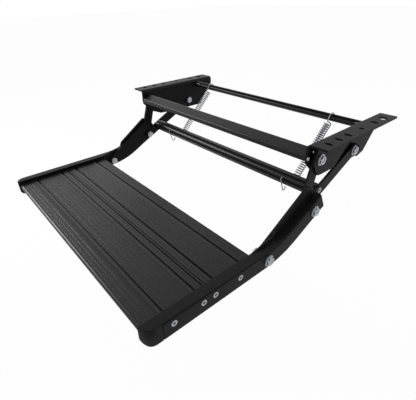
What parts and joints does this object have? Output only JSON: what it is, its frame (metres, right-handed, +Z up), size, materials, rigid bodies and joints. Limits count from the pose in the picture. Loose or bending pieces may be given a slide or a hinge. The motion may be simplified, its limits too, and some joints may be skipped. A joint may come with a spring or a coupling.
{
  "type": "caravan_step",
  "caption": "Pull-out caravan step: black brackets, bent and straight links, ribbed tread on curved arms, and two pull springs; the tread swings out level from under the floor.",
  "frame": {"origin": "Centre of the four corner slots of the two flanges, on the flanges' top faces, which bolt to the floor above.", "axes": "+X to the right seen from the front, +Y back under the caravan, -Y out to the person, +Z up"},
  "size_m": [0.632, 0.629, 0.1925],
  "materials": {
    "black_steel": "satin",
    "black_aluminium": "satin",
    "zinc_steel": "satin",
    "black_nylon": "matte"
  },
  "bodies": {
    "frame": {"bracket_left": "black_steel", "bracket_right": "black_steel", "upper_crossbar": "black_aluminium", "rear_bar": "black_aluminium", "crossbar_screws": "zinc_steel", "rear_bar_screws": "zinc_steel", "upper_pivot_bolts": "zinc_steel", "upper_pivot_washers": "zinc_steel", "upper_pivot_nuts": "zinc_steel", "thrust_washers": "black_nylon"},
    "front_links": {"front_link_left": "black_steel", "front_link_right": "black_steel"},
    "rear_links": {"rear_link_left": "black_steel", "rear_link_right": "black_steel", "lower_bar": "black_aluminium", "lower_bar_screws": "zinc_steel", "rear_knuckle_pins": "zinc_steel"},
    "springs": {"spring_left": "zinc_steel", "spring_right": "zinc_steel"},
    "tread": {"tread": "black_aluminium", "arm_left": "black_steel", "arm_right": "black_steel", "arm_bar_left": "black_steel", "arm_bar_right": "black_steel", "tread_screws": "zinc_steel", "front_pivot_bolts": "zinc_steel", "rear_pivot_bolts": "zinc_steel", "lower_pivot_washers": "zinc_steel", "front_pivot_nuts": "zinc_steel", "pivot_spacers": "zinc_steel"}
  },
  "joints": [
    {"name": "fold", "type": "hinge", "parent": "frame", "child": "front_links", "pos_m": [0, -0.0795, -0.034], "axis": [1, 0, 0], "range_deg": [0, 98.22]},
    {"name": "tread_level", "type": "hinge", "parent": "front_links", "child": "tread", "pos_m": [0, -0.2265, -0.177], "axis": [1, 0, 0], "range_deg": [-98.22, 0]},
    {"name": "rear_swing", "type": "hinge", "parent": "frame", "child": "rear_links", "pos_m": [0, 0.0525, -0.056], "axis": [1, 0, 0], "range_deg": [0, 134.42]},
    {"name": "spring_swing", "type": "hinge", "parent": "frame", "child": "springs", "pos_m": [0, 0.0875, -0.013], "axis": [1, 0, 0], "range_deg": [0, 99.68], "deforming": ["spring_left", "spring_right"]}
  ],
  "couplings": [
    {"joint": "tread_level", "follows": "fold", "ratio": -1},
    {"joint": "rear_swing", "follows": "fold", "ratio": 1.3686},
    {"joint": "spring_swing", "follows": "fold", "ratio": 1.0149}
  ]
}
